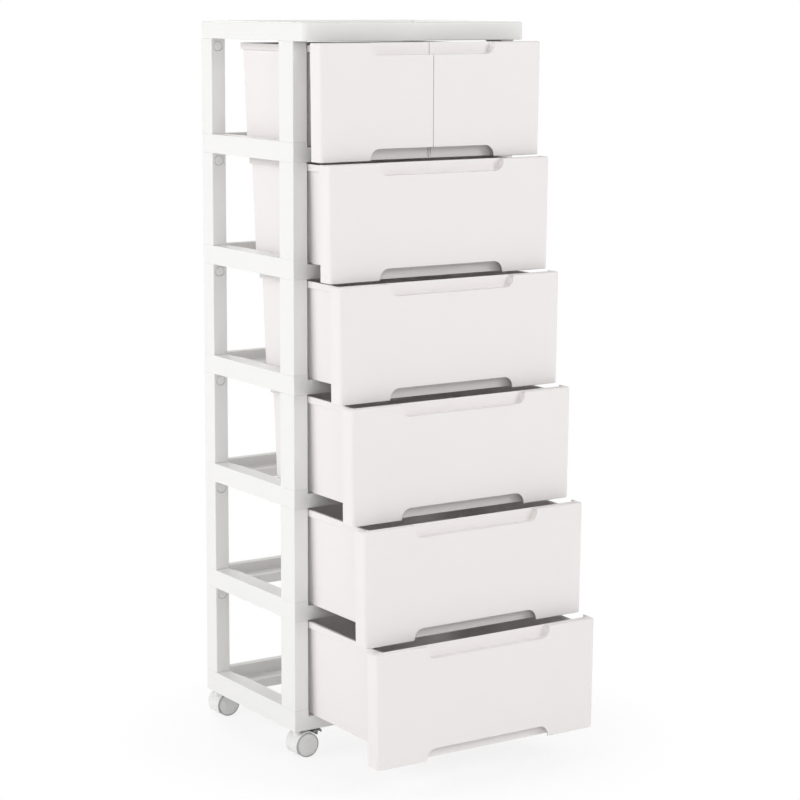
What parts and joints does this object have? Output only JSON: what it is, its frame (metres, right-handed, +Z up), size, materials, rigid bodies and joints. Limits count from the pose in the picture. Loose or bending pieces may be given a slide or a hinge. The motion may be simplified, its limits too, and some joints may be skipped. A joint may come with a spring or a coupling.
{
  "type": "plastic drawer tower",
  "caption": "Tall rolling plastic drawer tower: stacked trays on hollow posts, a flat cover, sliding bins with finger notches and swivelling twin-wheel casters.",
  "frame": {"origin": "middle of the footprint with the drawers open as stored, on the floor", "axes": "+Z up, +X to the right seen from the front, -Y towards the front, the way the drawers open"},
  "size_m": [0.408, 0.52, 1.1425],
  "materials": {
    "frame_plastic": "satin white moulded polypropylene",
    "drawer_plastic": "satin warm white moulded polypropylene",
    "caster_plastic": "satin white moulded nylon",
    "wheel_plastic": "light grey moulded nylon",
    "pedal_plastic": "dark grey moulded nylon",
    "steel": "zinc-plated"
  },
  "bodies": {
    "frame": {"top_cover": "frame_plastic", "tray_1": "frame_plastic", "tray_2": "frame_plastic", "tray_3": "frame_plastic", "tray_4": "frame_plastic", "tray_5": "frame_plastic", "base_tray": "frame_plastic", "post_1_fl": "frame_plastic", "post_1_fr": "frame_plastic", "post_1_rl": "frame_plastic", "post_1_rr": "frame_plastic", "post_2_fl": "frame_plastic", "post_2_fr": "frame_plastic", "post_2_rl": "frame_plastic", "post_2_rr": "frame_plastic", "post_3_fl": "frame_plastic", "post_3_fr": "frame_plastic", "post_3_rl": "frame_plastic", "post_3_rr": "frame_plastic", "post_4_fl": "frame_plastic", "post_4_fr": "frame_plastic", "post_4_rl": "frame_plastic", "post_4_rr": "frame_plastic", "post_5_fl": "frame_plastic", "post_5_fr": "frame_plastic", "post_5_rl": "frame_plastic", "post_5_rr": "frame_plastic", "post_6_fl": "frame_plastic", "post_6_fr": "frame_plastic", "post_6_rl": "frame_plastic", "post_6_rr": "frame_plastic", "stem_fl": "steel", "stem_fr": "steel", "stem_rl": "steel", "stem_rr": "steel"},
    "drawer_1_left": {"drawer_1_left": "drawer_plastic"},
    "drawer_1_right": {"drawer_1_right": "drawer_plastic"},
    "drawer_2": {"drawer_2": "drawer_plastic"},
    "drawer_3": {"drawer_3": "drawer_plastic"},
    "drawer_4": {"drawer_4": "drawer_plastic"},
    "drawer_5": {"drawer_5": "drawer_plastic"},
    "drawer_6": {"drawer_6": "drawer_plastic"},
    "caster_fl": {"housing_fl": "caster_plastic", "axle_fl": "steel"},
    "caster_fr": {"housing_fr": "caster_plastic", "axle_fr": "steel"},
    "caster_rl": {"housing_rl": "caster_plastic", "axle_rl": "steel"},
    "caster_rr": {"housing_rr": "caster_plastic", "axle_rr": "steel"},
    "wheel_fl_front": {"wheel_fl_front": "wheel_plastic"},
    "wheel_fl_back": {"wheel_fl_back": "wheel_plastic"},
    "wheel_fr_front": {"wheel_fr_front": "wheel_plastic"},
    "wheel_fr_back": {"wheel_fr_back": "wheel_plastic"},
    "wheel_rl_front": {"wheel_rl_front": "wheel_plastic"},
    "wheel_rl_back": {"wheel_rl_back": "wheel_plastic"},
    "wheel_rr_front": {"wheel_rr_front": "wheel_plastic"},
    "wheel_rr_back": {"wheel_rr_back": "wheel_plastic"},
    "brake_fl": {"brake_fl": "pedal_plastic"},
    "brake_fr": {"brake_fr": "pedal_plastic"}
  },
  "joints": [
    {"name": "drawer_1_left_slide", "type": "slide", "parent": "frame", "child": "drawer_1_left", "axis": [0, -1, 0], "range_m": [-0.046, 0.172]},
    {"name": "drawer_1_right_slide", "type": "slide", "parent": "frame", "child": "drawer_1_right", "axis": [0, -1, 0], "range_m": [-0.046, 0.172]},
    {"name": "drawer_2_slide", "type": "slide", "parent": "frame", "child": "drawer_2", "axis": [0, -1, 0], "range_m": [-0.072, 0.146]},
    {"name": "drawer_3_slide", "type": "slide", "parent": "frame", "child": "drawer_3", "axis": [0, -1, 0], "range_m": [-0.102, 0.116]},
    {"name": "drawer_4_slide", "type": "slide", "parent": "frame", "child": "drawer_4", "axis": [0, -1, 0], "range_m": [-0.135, 0.083]},
    {"name": "drawer_5_slide", "type": "slide", "parent": "frame", "child": "drawer_5", "axis": [0, -1, 0], "range_m": [-0.171, 0.047]},
    {"name": "drawer_6_slide", "type": "slide", "parent": "frame", "child": "drawer_6", "axis": [0, -1, 0], "range_m": [-0.206, 0.012]},
    {"name": "caster_fl_swivel", "type": "hinge", "parent": "frame", "child": "caster_fl", "pos_m": [-0.1915, -0.01, 0.035], "axis": [0, 0, 1], "continuous": true},
    {"name": "wheel_fl_front_spin", "type": "hinge", "parent": "caster_fl", "child": "wheel_fl_front", "pos_m": [-0.18075, -0.0215, 0.0195], "axis": [0, 1, 0], "continuous": true},
    {"name": "wheel_fl_back_spin", "type": "hinge", "parent": "caster_fl", "child": "wheel_fl_back", "pos_m": [-0.18075, 0.0015, 0.0195], "axis": [0, 1, 0], "continuous": true},
    {"name": "caster_fr_swivel", "type": "hinge", "parent": "frame", "child": "caster_fr", "pos_m": [0.1915, -0.01, 0.035], "axis": [0, 0, 1], "continuous": true},
    {"name": "wheel_fr_front_spin", "type": "hinge", "parent": "caster_fr", "child": "wheel_fr_front", "pos_m": [0.18075, -0.0215, 0.0195], "axis": [0, 1, 0], "continuous": true},
    {"name": "wheel_fr_back_spin", "type": "hinge", "parent": "caster_fr", "child": "wheel_fr_back", "pos_m": [0.18075, 0.0015, 0.0195], "axis": [0, 1, 0], "continuous": true},
    {"name": "caster_rl_swivel", "type": "hinge", "parent": "frame", "child": "caster_rl", "pos_m": [-0.1915, 0.2435, 0.035], "axis": [0, 0, 1], "continuous": true},
    {"name": "wheel_rl_front_spin", "type": "hinge", "parent": "caster_rl", "child": "wheel_rl_front", "pos_m": [-0.18075, 0.232, 0.0195], "axis": [0, 1, 0], "continuous": true},
    {"name": "wheel_rl_back_spin", "type": "hinge", "parent": "caster_rl", "child": "wheel_rl_back", "pos_m": [-0.18075, 0.255, 0.0195], "axis": [0, 1, 0], "continuous": true},
    {"name": "caster_rr_swivel", "type": "hinge", "parent": "frame", "child": "caster_rr", "pos_m": [0.1915, 0.2435, 0.035], "axis": [0, 0, 1], "continuous": true},
    {"name": "wheel_rr_front_spin", "type": "hinge", "parent": "caster_rr", "child": "wheel_rr_front", "pos_m": [0.18075, 0.232, 0.0195], "axis": [0, 1, 0], "continuous": true},
    {"name": "wheel_rr_back_spin", "type": "hinge", "parent": "caster_rr", "child": "wheel_rr_back", "pos_m": [0.18075, 0.255, 0.0195], "axis": [0, 1, 0], "continuous": true},
    {"name": "brake_fl_press", "type": "hinge", "parent": "caster_fl", "child": "brake_fl", "pos_m": [-0.16875, -0.01, 0.039], "axis": [0, 1, 0], "range_deg": [0, 14]},
    {"name": "brake_fr_press", "type": "hinge", "parent": "caster_fr", "child": "brake_fr", "pos_m": [0.16875, -0.01, 0.039], "axis": [0, -1, 0], "range_deg": [0, 14]}
  ]
}
